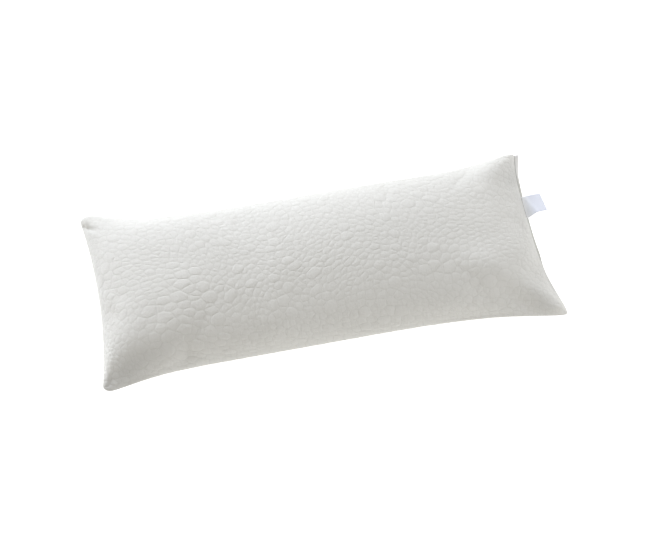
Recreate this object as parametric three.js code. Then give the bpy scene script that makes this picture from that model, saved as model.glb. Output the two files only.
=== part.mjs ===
// A long memory foam pillow in a knitted cover with raised pebbles, lying on its back.
// Lengths are in millimetres. +X runs to the end with the closure and the label, +Y to the
// back edge and +Z up. The origin is the middle of the flat face that the pillow rests on.

import * as THREE from 'three';

// The cover as it is cut, in half sizes, and the cloth that turns down at each end.
const PANEL = { halfLength: 450, halfWidth: 180 };
const END_ROLL = { left: 240, right: 330 };

// The filled form: the seam's height, and how far the two faces swell away from it.
const SEAM_HEIGHT = 54;
const TOP_SWELL = 75;
const BOTTOM_SWELL = 69;
const SEAM_FULLNESS = 4;
const SEAM_FULLNESS_REACH = 15;

// The seam's half sizes at the middle of each side and end, and at the square corners.
const MID_REACH = { left: 418, right: 413.5, back: 150, front: 150 };
const CORNER_REACH = { left: 425, right: 437.5, back: 198.5, front: 176 };

// How each corner departs from a square one. The lean moves the whole corner, and the tip
// moves only its last few centimetres. Plus is outward for x and y, and upward for z. The
// rounding is the length of each edge of the panel that the rounded tip takes up.
const CORNERS = [
  { end: 'left', side: 'back', leanX: 15, leanY: 9, lift: 10, tipX: -5.5, tipY: -37, rounding: 26 },
  { end: 'right', side: 'back', leanX: -11, leanY: -18, lift: -8, tipX: 1.5, tipY: -8.5, rounding: 16 },
  { end: 'left', side: 'front', leanX: 11, leanY: 1.5, lift: 0, tipX: 0, tipY: -10.5, rounding: 22 },
  { end: 'right', side: 'front', leanX: 14.5, leanY: 11.5, lift: 0, tipX: -10.5, tipY: -10, rounding: 4 },
];
const LEAN_SPREAD = 0.67;
const TIP_SPREAD = 5;

// How the cloth turns down from the flat of a face to the seam: how far it lags a plain arc,
// how much of its length shows on the flat, and how full the ends stay (1 is a plain arc).
const ARC_LAG = { across: 0.15, along: 0.18 };
const FLAT_SHARE = 0.96;
const SIDE_FULLNESS = 1;
const END_FULLNESS = 0.82;

// The soft ridges and hollows of the top face: where each one is on the panel, its half
// sizes along and across it, how far it is turned from the length, and its height.
const FOLDS = [
  { u: -401, v: -24, length: 92, width: 64, turn: 1.43, height: -11.0 },
  { u: -330, v: -125, length: 129, width: 35, turn: 0.50, height: -6.5 },
  { u: -151, v: -31, length: 259, width: 81, turn: 0.29, height: 5.5 },
  { u: 377, v: -127, length: 76, width: 22, turn: -0.56, height: 11.1 },
  { u: 377, v: -125, length: 249, width: 47, turn: 0.59, height: -10.5 },
  { u: 372, v: -77, length: 46, width: 90, turn: 0.52, height: 9.4 },
  { u: 390, v: 141, length: 61, width: 30, turn: 0.61, height: 13.4 },
  { u: 390, v: 65, length: 119, width: 46, turn: -1.92, height: -7.2 },
  { u: -291, v: 145, length: 133, width: 68, turn: -0.51, height: 5.6 },
  { u: 305, v: -73, length: 43, width: 36, turn: -0.01, height: 7.6 },
  { u: 430, v: -79, length: 113, width: 21, turn: 0.35, height: -6.3 },
  { u: -287, v: -148, length: 24, width: 23, turn: 0.80, height: -6.7 },
  { u: 373, v: -19, length: 77, width: 67, turn: 0.90, height: -3.0 },
  { u: -341, v: -90, length: 92, width: 34, turn: 0.90, height: -4.9 },
  { u: -325, v: -99, length: 89, width: 31, turn: 0.18, height: 4.9 },
  { u: -123, v: -138, length: 132, width: 46, turn: 0.12, height: 9.3 },
];

// A fold fades out in this distance from the seam, and a hollow takes up at most this share
// of the cover's height above the seam.
const FOLD_FROM_SEAM = 12;
const DEEPEST_SHARE = 0.5;

// The pebbles of the knit: rows of seeds, shifted at random, each with its own pull.
const PEBBLE = { pitchX: 30, pitchY: 25, jitter: 0.36, pull: 140, rise: 2.2, crown: 0.6 };
const ROW_STAGGER = 0.25;
const PLATEAU_SHARE = 0.64;
const SEAM_PEBBLE_RISE = { top: 0.9, bottom: 0 };
const SHORTEST_GROOVE = 3.5;
const NEIGHBOUR_PITCHES = 4;
const RANDOM = { start: 20417, factor: 1664525, step: 1013904223, range: 2 ** 32 };

// The distance that counts as none, and the stretch of cloth that a direction is taken from.
const TOUCH = 1e-6;
const NORMAL_STEP = 1;

// The gap that keeps the cover, the strip and the label apart.
const CLEARANCE = 0.35;

// The strip over the closing seam, from one end of its run to the other. It hangs a little
// below the seam, leans out, and turns up to lie flat at the back corner.
const STRIP = { width: 7, thickness: 2, from: -0.46, to: 0.95, turnUpFrom: 0.62 };
const STRIP_HANG = { drop: 2, lean: 0.9 };

// The label, with its middle at centre along the seam, this far off the seam so that it clears
// the strip, and the hump that its front half makes.
const LABEL = { width: 46, reach: 37, thickness: 1, centre: 50.5, skew: 1, offSeam: 2 };
const HUMP = { height: 21.5, backAt: 0.16, frontAt: 0.56 };
const LABEL_STEPS = 8;

const COVER_KNIT = new THREE.MeshStandardMaterial({ name: 'cover_knit', color: 0xe6e4dd,
  roughness: 0.9, metalness: 0 });
const CLOSURE_TAPE = new THREE.MeshStandardMaterial({ name: 'closure_tape', color: 0xc9cbc2,
  roughness: 0.85, metalness: 0 });
const LABEL_SATIN = new THREE.MeshStandardMaterial({ name: 'label_satin', color: 0xf4f5fa,
  roughness: 0.5, metalness: 0 });

// A repeatable stream of random numbers from 0 to 1.
function randomStream(start) {
  let state = start;
  return () => {
    state = (Math.imul(state, RANDOM.factor) + RANDOM.step) >>> 0;
    return state / RANDOM.range;
  };
}

// Where the cloth has got to on its way from flat to the seam: level is 1 on the flat of the
// face and 0 at the seam, and reach grows from 0 to 1 in the same stretch.
function arc(share, lag, fullness) {
  const angle = Math.PI / 2 * share - lag * Math.sin(Math.PI * share);
  return { level: Math.max(0, Math.cos(angle)) ** fullness, reach: Math.sin(angle) };
}

// A place of the square panel, moved onto a panel with rounded corners.
function roundedPlace(u, v, rounding) {
  const inU = Math.max(0, Math.abs(u) - PANEL.halfLength + rounding) / rounding;
  const inV = Math.max(0, Math.abs(v) - PANEL.halfWidth + rounding) / rounding;
  const lessU = rounding * inU * (1 - Math.sqrt(1 - inV ** 2 / 2));
  const lessV = rounding * inV * (1 - Math.sqrt(1 - inU ** 2 / 2));
  return { u: u - Math.sign(u) * lessU, v: v - Math.sign(v) * lessV };
}

// How far the folds raise the top face there, where it stands this high above the seam.
function foldHeight(u, v, toSeam, rise) {
  const sum = FOLDS.reduce((total, fold) => {
    const cos = Math.cos(fold.turn);
    const sin = Math.sin(fold.turn);
    const along = ((u - fold.u) * cos + (v - fold.v) * sin) / fold.length;
    const aside = ((v - fold.v) * cos - (u - fold.u) * sin) / fold.width;
    return total + fold.height * Math.exp(-(along ** 2) - aside ** 2);
  }, 0);
  const height = sum * THREE.MathUtils.smoothstep(toSeam, 0, FOLD_FROM_SEAM);
  const deepest = DEEPEST_SHARE * Math.max(rise, TOUCH);
  return height < 0 ? deepest * Math.tanh(height / deepest) : height;
}

// The point of the filled cover above or below a point of the flat panel.
function coverPoint(panelU, panelV, face) {
  const end = panelU < 0 ? 'left' : 'right';
  const side = panelV < 0 ? 'front' : 'back';
  const corner = CORNERS.find((row) => row.end === end && row.side === side);
  const { u, v } = roundedPlace(panelU, panelV, corner.rounding);
  const flatLength = PANEL.halfLength - END_ROLL[end];
  const rollShare = Math.max(0, (Math.abs(u) - flatLength) / END_ROLL[end]);
  const across = arc(Math.abs(v) / PANEL.halfWidth, ARC_LAG.across, SIDE_FULLNESS);
  const along = arc(rollShare, ARC_LAG.along, END_FULLNESS);

  const flatReach = flatLength * FLAT_SHARE;
  const midX = rollShare > 0
    ? flatReach + (MID_REACH[end] - flatReach) * along.reach
    : Math.abs(u) * FLAT_SHARE;
  const cornerX = CORNER_REACH[end] * Math.abs(u) / PANEL.halfLength;
  const midY = MID_REACH[side] * across.reach;
  const cornerY = CORNER_REACH[side] * Math.abs(v) / PANEL.halfWidth;

  const cornerness = (1 - across.level) * (1 - along.level);
  const lean = cornerness ** LEAN_SPREAD;
  const tip = cornerness ** TIP_SPREAD;
  const x = across.level * midX + (1 - across.level) * cornerX
    + lean * corner.leanX + tip * corner.tipX;
  const y = along.level * midY + (1 - along.level) * cornerY
    + lean * corner.leanY + tip * corner.tipY;

  const toSeam = Math.min(PANEL.halfLength - Math.abs(panelU), PANEL.halfWidth - Math.abs(panelV));
  const fullness = SEAM_FULLNESS * Math.sin(Math.PI / 2 * Math.min(1, toSeam / SEAM_FULLNESS_REACH));
  const swell = (face > 0 ? TOP_SWELL : BOTTOM_SWELL) * across.level * along.level + fullness;
  const rise = face > 0 ? swell + foldHeight(u, v, toSeam, swell) : swell;
  const z = Math.max(0, SEAM_HEIGHT + lean * corner.lift + face * rise);
  return new THREE.Vector3(Math.sign(u) * x, Math.sign(v) * y, z);
}

// The outward direction of the cover there, from short steps along and across the panel.
function coverNormal(u, v, face) {
  const step = NORMAL_STEP;
  const inU = THREE.MathUtils.clamp(u, step - PANEL.halfLength, PANEL.halfLength - step);
  const inV = THREE.MathUtils.clamp(v, step - PANEL.halfWidth, PANEL.halfWidth - step);
  const alongU = coverPoint(inU + step, inV, face).sub(coverPoint(inU - step, inV, face));
  const alongV = coverPoint(inU, inV + step, face).sub(coverPoint(inU, inV - step, face));
  return alongU.cross(alongV).normalize().multiplyScalar(face);
}

// The cover's point, raised by the relief of the knit. What is pressed flat stays flat.
function raisedPoint(u, v, face, rise) {
  const point = coverPoint(u, v, face).addScaledVector(coverNormal(u, v, face), rise);
  point.z = Math.max(0, point.z);
  return point;
}

// Staggered rows of pebble centres on the flat panel, each with the pull of its cell.
function pebbleSeeds() {
  const random = randomStream(RANDOM.start);
  const rows = Math.round(2 * PANEL.halfWidth / PEBBLE.pitchY);
  const columns = Math.round(2 * PANEL.halfLength / PEBBLE.pitchX);
  const pitchX = 2 * PANEL.halfLength / columns;
  const pitchY = 2 * PANEL.halfWidth / rows;
  const seeds = [];
  for (let row = 0; row < rows; row += 1) {
    const shift = row % 2 ? ROW_STAGGER : -ROW_STAGGER;
    for (let column = 0; column < columns; column += 1) {
      const offX = shift + PEBBLE.jitter * (2 * random() - 1);
      const offY = PEBBLE.jitter * (2 * random() - 1);
      seeds.push({
        x: (column + 0.5 + offX) * pitchX - PANEL.halfLength,
        y: (row + 0.5 + offY) * pitchY - PANEL.halfWidth,
        pull: PEBBLE.pull * random(),
      });
    }
  }
  return seeds;
}

// The part of a convex polygon where nx*x + ny*y <= limit. Each corner keeps the name of the
// line that leaves it, so that a corner is known by the two lines that meet there.
function clip(polygon, nx, ny, limit, name) {
  const kept = [];
  polygon.forEach((from, index) => {
    const to = polygon[(index + 1) % polygon.length];
    const outFrom = nx * from.x + ny * from.y - limit;
    const outTo = nx * to.x + ny * to.y - limit;
    if (outFrom <= 0) {
      kept.push(from);
    }
    if ((outFrom <= 0) !== (outTo <= 0)) {
      const share = outFrom / (outFrom - outTo);
      kept.push({
        x: from.x + share * (to.x - from.x),
        y: from.y + share * (to.y - from.y),
        line: outFrom <= 0 ? name : from.line,
      });
    }
  });
  return kept;
}

// The cell of each seed, with every corner named by the three cells or edges that meet in it.
function pebbleCells(seeds) {
  const { halfLength, halfWidth } = PANEL;
  const sheet = [
    { x: -halfLength, y: -halfWidth, line: -1 },
    { x: halfLength, y: -halfWidth, line: -2 },
    { x: halfLength, y: halfWidth, line: -3 },
    { x: -halfLength, y: halfWidth, line: -4 },
  ];
  const reach = NEIGHBOUR_PITCHES * Math.max(PEBBLE.pitchX, PEBBLE.pitchY);
  return seeds.map((seed, self) => {
    let polygon = sheet;
    seeds.forEach((other, index) => {
      const dx = other.x - seed.x;
      const dy = other.y - seed.y;
      if (index !== self && Math.hypot(dx, dy) < reach) {
        const limit = (other.x ** 2 + other.y ** 2 - seed.x ** 2 - seed.y ** 2
          + seed.pull - other.pull) / 2;
        polygon = clip(polygon, dx, dy, limit, index);
      }
    });
    return polygon.map((corner, index) => {
      const before = polygon[(index + polygon.length - 1) % polygon.length].line;
      const names = [self, before, corner.line].sort((a, b) => a - b);
      return { x: corner.x, y: corner.y, key: names.join(' ') };
    });
  });
}

// Corners closer than the shortest groove become one. Panel corners and edges come first,
// so that the outline keeps its shape. Returns the cells as rings of shared points.
function joinedCells(cells) {
  const onEdge = (value, half) => (Math.abs(Math.abs(value) - half) < TOUCH ? 1 : 0);
  const rank = (p) => onEdge(p.x, PANEL.halfLength) + onEdge(p.y, PANEL.halfWidth);
  const byKey = new Map(cells.flat().map((corner) => [corner.key, corner]));
  const shared = [];
  const sharedOf = new Map();
  [...byKey.values()].sort((a, b) => rank(b) - rank(a)).forEach((corner) => {
    let match = shared.find((p) => Math.hypot(p.x - corner.x, p.y - corner.y) < SHORTEST_GROOVE);
    if (!match) {
      match = { x: corner.x, y: corner.y, edge: rank(corner) > 0 };
      shared.push(match);
    }
    sharedOf.set(corner.key, match);
  });
  const rings = cells.map((cell) => {
    const ring = cell.map((corner) => sharedOf.get(corner.key));
    return ring.filter((point, index) => point !== ring[(index + 1) % ring.length]);
  });
  return { rings: rings.filter((ring) => ring.length > 2), shared };
}

// A mesh under construction: points, and triangles that refer to them.
class Shell {
  constructor() {
    this.positions = [];
    this.triangles = [];
  }

  add(point) {
    this.positions.push(point.x, point.y, point.z);
    return this.positions.length / 3 - 1;
  }

  triangle(a, b, c) {
    this.triangles.push(a, b, c);
  }

  quad(a, b, c, d) {
    this.triangle(a, b, c);
    this.triangle(a, c, d);
  }

  mesh(name, material) {
    const geometry = new THREE.BufferGeometry();
    geometry.setAttribute('position', new THREE.Float32BufferAttribute(this.positions, 3));
    geometry.setIndex(this.triangles);
    geometry.computeVertexNormals();
    const mesh = new THREE.Mesh(geometry, material);
    mesh.name = name;
    return mesh;
  }
}

// The middle of a ring of panel points.
function ringMiddle(ring) {
  const sum = ring.reduce((total, p) => ({ x: total.x + p.x, y: total.y + p.y }), { x: 0, y: 0 });
  return { x: sum.x / ring.length, y: sum.y / ring.length };
}

// One pebble: up from its grooves to a plateau on the top face, or a plain low cone on the
// bottom face, which is pressed against what the pillow lies on.
function addPebble(shell, ring, rim, face) {
  const middle = ringMiddle(ring);
  const atSeam = ring.some((point) => point.edge);
  const rise = atSeam ? SEAM_PEBBLE_RISE[face > 0 ? 'top' : 'bottom'] : PEBBLE.rise;
  const centre = shell.add(raisedPoint(middle.x, middle.y, face, rise + (face > 0 ? PEBBLE.crown : 0)));
  const count = ring.length;
  const side = (a, b, c) => (face > 0 ? shell.triangle(a, b, c) : shell.triangle(a, c, b));
  if (face < 0) {
    rim.forEach((index, k) => side(centre, index, rim[(k + 1) % count]));
    return;
  }
  const plateau = ring.map((point) => shell.add(raisedPoint(
    THREE.MathUtils.lerp(middle.x, point.x, PLATEAU_SHARE),
    THREE.MathUtils.lerp(middle.y, point.y, PLATEAU_SHARE), face, rise)));
  rim.forEach((index, k) => {
    const next = (k + 1) % count;
    shell.quad(index, rim[next], plateau[next], plateau[k]);
    shell.triangle(centre, plateau[k], plateau[next]);
  });
}

// The filled cover: the same cells on both faces, which share their points along the seam.
function buildBody(rings, shared) {
  const shell = new Shell();
  const grooves = new Map();
  shared.forEach((point) => {
    const top = shell.add(coverPoint(point.x, point.y, 1));
    const bottom = point.edge ? top : shell.add(coverPoint(point.x, point.y, -1));
    grooves.set(point, { top, bottom });
  });
  rings.forEach((ring) => {
    addPebble(shell, ring, ring.map((point) => grooves.get(point).top), 1);
    addPebble(shell, ring, ring.map((point) => grooves.get(point).bottom), -1);
  });
  return shell.mesh('pillow_body', COVER_KNIT);
}

// The seam of the right end, from front to back, with its outward direction in plan.
function rightSeam(shared) {
  const places = shared.filter((point) => Math.abs(point.x - PANEL.halfLength) < TOUCH)
    .sort((a, b) => a.y - b.y);
  const points = places.map((place) => coverPoint(place.x, place.y, 1));
  return places.map((place, index) => {
    const before = points[Math.max(0, index - 1)];
    const after = points[Math.min(points.length - 1, index + 1)];
    const run = after.clone().sub(before).setZ(0).normalize();
    return { share: place.y / PANEL.halfWidth, point: points[index],
      outward: new THREE.Vector3(run.y, -run.x, 0) };
  });
}

// The strip over the closing seam, section by section beside the cover.
function buildStrip(seam) {
  const shell = new Shell();
  const down = new THREE.Vector3(0, 0, -1);
  const stations = seam.filter((row) => row.share > STRIP.from && row.share < STRIP.to);
  const sections = stations.map(({ share, point, outward }) => {
    const up = THREE.MathUtils.smoothstep(share, STRIP.turnUpFrom, STRIP.to);
    const turn = THREE.MathUtils.lerp(STRIP_HANG.lean, Math.PI / 2, up);
    const wide = down.clone().multiplyScalar(Math.cos(turn)).addScaledVector(outward, Math.sin(turn));
    const thick = outward.clone().multiplyScalar(Math.cos(turn)).addScaledVector(down, -Math.sin(turn));
    const inner = point.clone().addScaledVector(outward, CLEARANCE)
      .addScaledVector(down, STRIP_HANG.drop * (1 - up));
    return [[0, 0], [1, 0], [1, 1], [0, 1]].map(([w, t]) => shell.add(inner.clone()
      .addScaledVector(wide, w * STRIP.width).addScaledVector(thick, t * STRIP.thickness)));
  });
  for (let k = 0; k + 1 < sections.length; k += 1) {
    for (let side = 0; side < 4; side += 1) {
      const next = (side + 1) % 4;
      shell.quad(sections[k][side], sections[k + 1][side], sections[k + 1][next], sections[k][next]);
    }
  }
  const first = sections[0];
  const last = sections[sections.length - 1];
  shell.quad(first[0], first[1], first[2], first[3]);
  shell.quad(last[3], last[2], last[1], last[0]);
  return shell.mesh('closure_strip', CLOSURE_TAPE);
}

// The label: level along its back edge, humped along its front one, a blank sheet.
function buildLabel(seam) {
  const shell = new Shell();
  const seamAt = (y) => {
    const upper = seam.findIndex((row) => row.point.y > y);
    const a = seam[upper - 1].point;
    const b = seam[upper].point;
    return a.clone().lerp(b, (y - a.y) / (b.y - a.y));
  };
  const layer = (height) => {
    const grid = [];
    for (let row = 0; row <= LABEL_STEPS; row += 1) {
      const front = row / LABEL_STEPS;
      const y = LABEL.centre + LABEL.width * (0.5 - front);
      const root = seamAt(y);
      const humpAt = THREE.MathUtils.lerp(HUMP.backAt, HUMP.frontAt, front);
      for (let column = 0; column <= LABEL_STEPS; column += 1) {
        const out = column / LABEL_STEPS;
        const climb = THREE.MathUtils.smoothstep(out, 0, humpAt);
        const z = root.z + CLEARANCE + HUMP.height * front * climb + height;
        const x = root.x + LABEL.offSeam + LABEL.reach * out;
        grid.push(shell.add(new THREE.Vector3(x, y + LABEL.skew * out, z)));
      }
    }
    return grid;
  };
  const under = layer(0);
  const over = layer(LABEL.thickness);
  const stride = LABEL_STEPS + 1;
  for (let row = 0; row < LABEL_STEPS; row += 1) {
    for (let column = 0; column < LABEL_STEPS; column += 1) {
      const a = row * stride + column;
      const corners = [a, a + stride, a + stride + 1, a + 1];
      shell.quad(...corners.map((index) => over[index]));
      shell.quad(...corners.map((index) => under[index]).reverse());
    }
  }
  const rim = [];
  for (let k = 0; k < LABEL_STEPS; k += 1) {
    rim.push(k);
  }
  for (let k = 0; k < LABEL_STEPS; k += 1) {
    rim.push(LABEL_STEPS + k * stride);
  }
  for (let k = LABEL_STEPS; k > 0; k -= 1) {
    rim.push(LABEL_STEPS * stride + k);
  }
  for (let k = LABEL_STEPS; k > 0; k -= 1) {
    rim.push(k * stride);
  }
  rim.forEach((index, k) => {
    const next = rim[(k + 1) % rim.length];
    shell.quad(over[index], over[next], under[next], under[index]);
  });
  return shell.mesh('care_label', LABEL_SATIN);
}

const { rings, shared } = joinedCells(pebbleCells(pebbleSeeds()));
const seam = rightSeam(shared);
const pillow = new THREE.Group();
pillow.name = 'memory_foam_pillow';
pillow.add(buildBody(rings, shared), buildStrip(seam), buildLabel(seam));

export default pillow;
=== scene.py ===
"""Looks of a long memory foam pillow.

A knitted cover with raised pebbles, sewn all round, with a closing strip and a blank
care label on its right end. Lengths in the tables are millimetres on the flat cover;
meshes are made in metres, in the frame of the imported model.
"""

import logging
import math
from dataclasses import astuple, dataclass, field
from enum import Enum
from typing import Callable, Sequence

import bpy
import numpy as np
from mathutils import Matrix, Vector


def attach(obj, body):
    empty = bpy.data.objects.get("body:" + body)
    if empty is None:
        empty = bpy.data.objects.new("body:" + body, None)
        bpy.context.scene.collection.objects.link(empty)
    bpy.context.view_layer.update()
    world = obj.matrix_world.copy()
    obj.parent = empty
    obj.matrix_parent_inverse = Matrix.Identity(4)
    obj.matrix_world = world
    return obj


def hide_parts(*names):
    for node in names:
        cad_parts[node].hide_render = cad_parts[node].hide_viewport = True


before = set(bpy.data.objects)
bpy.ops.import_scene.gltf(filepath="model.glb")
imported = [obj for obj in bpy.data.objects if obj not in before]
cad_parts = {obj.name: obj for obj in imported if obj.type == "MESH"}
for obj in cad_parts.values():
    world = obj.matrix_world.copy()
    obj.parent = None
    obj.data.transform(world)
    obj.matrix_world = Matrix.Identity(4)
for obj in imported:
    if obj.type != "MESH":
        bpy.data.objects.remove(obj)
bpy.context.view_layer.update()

logging.basicConfig(level=logging.INFO, format="%(message)s")
log = logging.getLogger("pillow")

Array = np.ndarray
Socket = bpy.types.NodeSocket

MM = 0.001
PER_METRE = 1000.0
ON_EDGE = NEARLY_NONE = 1e-6
ROOT_BODY = "root"


class Face(Enum):
    """The two faces of the cover."""

    TOP = 1
    BOTTOM = -1


def smoothstep(value: Array, low: float, high: float | Array) -> Array:
    """Eases from 0 at low to 1 at high.

    Args:
        value: Where to read the curve.
        low: The last value that gives 0.
        high: The first value that gives 1.

    Returns:
        The eased values, shaped as value is.
    """
    share = np.clip((np.asarray(value, float) - low) / (high - low), 0.0, 1.0)
    return share * share * (3.0 - 2.0 * share)


def add_object(name: str, data: bpy.types.ID) -> bpy.types.Object:
    """Makes an object of some data and links it to the scene."""
    made = bpy.data.objects.new(name, data)
    bpy.context.scene.collection.objects.link(made)
    return made


def aimed_object(name: str, data: bpy.types.ID, target: Vector, azimuth: float,
                 elevation: float, distance: float) -> bpy.types.Object:
    """Makes a light or a camera that looks at a point.

    Args:
        name: The object's name.
        data: The light or the camera.
        target: The point that it looks at, in metres.
        azimuth: Its side in degrees: 0 is +Y and 90 is +X.
        elevation: Its height above the floor in degrees.
        distance: How far it is from the point, in metres.

    Returns:
        The object, linked to the scene.
    """
    turn, rise = math.radians(azimuth), math.radians(elevation)
    away = Vector((math.sin(turn) * math.cos(rise), math.cos(turn) * math.cos(rise),
                   math.sin(rise)))
    made = add_object(name, data)
    made.location = target + away * distance
    made.rotation_mode = "QUATERNION"
    made.rotation_quaternion = (-away).to_track_quat("-Z", "Y")
    return made


def panel_map(data: bpy.types.Mesh, places: Array) -> None:
    """Maps a mesh to its flat cloth, from the place of each point in millimetres."""
    corners = np.empty(len(data.loops), np.int32)
    data.loops.foreach_get("vertex_index", corners)
    layer = data.uv_layers.new(name="panel")
    layer.data.foreach_set("uv", (places[corners] * MM).astype(np.float32).ravel())


# The filled form

@dataclass(frozen=True)
class Corner:
    """How one corner departs from a square one, in millimetres outward and upward.

    The rounding is the length of each edge of the panel that its rounded tip takes up.
    """

    lean_x: float | Array
    lean_y: float | Array
    lift: float | Array
    tip_x: float | Array
    tip_y: float | Array
    rounding: float | Array


@dataclass(frozen=True)
class Swell:
    """A soft ridge or hollow of the top face, in millimetres and radians on the panel."""

    u: float
    v: float
    length: float
    width: float
    turn: float
    height: float

    def at(self, u: Array, v: Array) -> Array:
        """Its height at places of the panel."""
        along = (u - self.u) * math.cos(self.turn) + (v - self.v) * math.sin(self.turn)
        aside = (v - self.v) * math.cos(self.turn) - (u - self.u) * math.sin(self.turn)
        return self.height * np.exp(-(along / self.length) ** 2 - (aside / self.width) ** 2)


@dataclass(frozen=True)
class CoverForm:
    """The filled cover as a function of a place on the flat panel.

    Attributes are millimetres unless they are shares. Pairs run (left, right) or
    (front, back), in the order of the signs of u and v.
    """

    half_length: float = 450.0
    half_width: float = 180.0
    end_roll: tuple[float, float] = (240.0, 330.0)
    seam_height: float = 54.0
    swell: tuple[float, float] = (69.0, 75.0)
    seam_fullness: float = 4.0
    seam_fullness_reach: float = 15.0
    mid_x: tuple[float, float] = (418.0, 413.5)
    mid_y: tuple[float, float] = (150.0, 150.0)
    corner_x: tuple[float, float] = (425.0, 437.5)
    corner_y: tuple[float, float] = (176.0, 198.5)
    left_front: Corner = Corner(11.0, 1.5, 0.0, 0.0, -10.5, 22.0)
    left_back: Corner = Corner(15.0, 9.0, 10.0, -5.5, -37.0, 26.0)
    right_front: Corner = Corner(14.5, 11.5, 0.0, -10.5, -10.0, 4.0)
    right_back: Corner = Corner(-11.0, -18.0, -8.0, 1.5, -8.5, 16.0)
    lean_spread: float = 0.67
    tip_spread: float = 5.0
    lag_across: float = 0.15
    lag_along: float = 0.18
    flat_share: float = 0.96
    side_fullness: float = 1.0
    end_fullness: float = 0.82
    swells: tuple[Swell, ...] = (
        Swell(-401, -24, 92, 64, 1.43, -11.0),
        Swell(-330, -125, 129, 35, 0.50, -6.5),
        Swell(-151, -31, 259, 81, 0.29, 5.5),
        Swell(377, -127, 76, 22, -0.56, 11.1),
        Swell(377, -125, 249, 47, 0.59, -10.5),
        Swell(372, -77, 46, 90, 0.52, 9.4),
        Swell(390, 141, 61, 30, 0.61, 13.4),
        Swell(390, 65, 119, 46, -1.92, -7.2),
        Swell(-291, 145, 133, 68, -0.51, 5.6),
        Swell(305, -73, 43, 36, -0.01, 7.6),
        Swell(-98, -78, 124, 35, 1.39, 2.7),
        Swell(430, -79, 113, 21, 0.35, -6.3),
        Swell(-287, -148, 24, 23, 0.80, -6.7),
        Swell(-440, 15, 34, 75, 1.28, 2.7),
        Swell(373, -19, 77, 67, 0.90, -3.0),
        Swell(-341, -90, 92, 34, 0.90, -4.9),
        Swell(364, -147, 26, 36, -0.45, -1.6),
        Swell(-336, -66, 140, 40, 0.71, 2.7),
        Swell(-325, -99, 89, 31, 0.18, 4.9),
        Swell(-123, -138, 132, 46, 0.12, 9.3),
        Swell(-437, -130, 38, 21, 0.98, 2.4),
        Swell(-404, -158, 43, 20, 0.42, -2.7),
        Swell(446, -154, 41, 17, 0.69, 2.6),
        Swell(397, -157, 42, 16, 0.29, -1.6)
    )
    swell_from_seam: float = 12.0
    deepest_share: float = 0.5

    @staticmethod
    def _arc(share: Array, lag: float, fullness: float) -> tuple[Array, Array]:
        """The level (1 on the flat, 0 at the seam) and the reach (0 to 1) along a turn."""
        angle = math.pi / 2 * share - lag * np.sin(math.pi * share)
        return np.maximum(0.0, np.cos(angle)) ** fullness, np.sin(angle)

    def _corner(self, right: Array, back: Array) -> Corner:
        """The values of the corner nearest to each point, as arrays."""
        corners = ((self.left_front, self.left_back), (self.right_front, self.right_back))
        values = np.array([[astuple(corner) for corner in end] for end in corners])
        return Corner(*np.moveaxis(values[right, back], -1, 0))

    def _rounded(self, u: Array, v: Array,
                 size: Array) -> tuple[Array, Array]:
        """Places of the square panel moved onto one with rounded corners."""
        in_u = np.clip(np.abs(u) - self.half_length + size, 0.0, None) / size
        in_v = np.clip(np.abs(v) - self.half_width + size, 0.0, None) / size
        less_u = size * in_u * (1.0 - np.sqrt(np.maximum(0.0, 1.0 - in_v ** 2 / 2)))
        less_v = size * in_v * (1.0 - np.sqrt(np.maximum(0.0, 1.0 - in_u ** 2 / 2)))
        return u - np.sign(u) * less_u, v - np.sign(v) * less_v

    def points(self, u: Array, v: Array, face: Face) -> Array:
        """The cover above or below places of the flat panel.

        Args:
            u: Places along the panel, from minus to plus half_length.
            v: Places across it, from minus to plus half_width.
            face: The face of the cover.

        Returns:
            One row of x, y, z in millimetres for each place.
        """
        u, v = np.asarray(u, float), np.asarray(v, float)
        right, back = (u >= 0).astype(int), (v >= 0).astype(int)
        to_seam = self.to_seam(u, v)
        corner = self._corner(right, back)
        u, v = self._rounded(u, v, corner.rounding)
        roll = np.array(self.end_roll)[right]
        flat = self.half_length - roll
        along, along_reach = self._arc(
            np.clip((np.abs(u) - flat) / roll, 0.0, 1.0), self.lag_along, self.end_fullness)
        across, across_reach = self._arc(
            np.abs(v) / self.half_width, self.lag_across, self.side_fullness)

        flat_reach = flat * self.flat_share
        mid_x = np.where(
            np.abs(u) > flat,
            flat_reach + (np.array(self.mid_x)[right] - flat_reach) * along_reach,
            np.abs(u) * self.flat_share)
        corner_x = np.array(self.corner_x)[right] * np.abs(u) / self.half_length
        mid_y = np.array(self.mid_y)[back] * across_reach
        corner_y = np.array(self.corner_y)[back] * np.abs(v) / self.half_width

        cornerness = (1.0 - across) * (1.0 - along)
        lean, tip = cornerness ** self.lean_spread, cornerness ** self.tip_spread
        x = (across * mid_x + (1.0 - across) * corner_x
             + lean * corner.lean_x + tip * corner.tip_x)
        y = (along * mid_y + (1.0 - along) * corner_y
             + lean * corner.lean_y + tip * corner.tip_y)

        full = self.seam_fullness * np.sin(
            math.pi / 2 * np.clip(to_seam / self.seam_fullness_reach, 0.0, 1.0))
        swell = self.swell[1] if face is Face.TOP else self.swell[0]
        rise = swell * across * along + full
        seam_z = self.seam_height + lean * corner.lift
        if face is Face.TOP:
            near = smoothstep(to_seam, 0.0, self.swell_from_seam)
            uneven = near * sum(row.at(u, v) for row in self.swells)
            deepest = self.deepest_share * np.maximum(rise, NEARLY_NONE)
            rise = rise + np.where(uneven < 0, deepest * np.tanh(uneven / deepest), uneven)
        return np.stack([np.sign(u) * x, np.sign(v) * y, seam_z + face.value * rise], axis=-1)

    def to_seam(self, u: Array, v: Array) -> Array:
        """The distance on the panel from each place to the nearest seam."""
        return np.maximum(0.0, np.minimum(
            self.half_length - np.abs(u), self.half_width - np.abs(v)))

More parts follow.
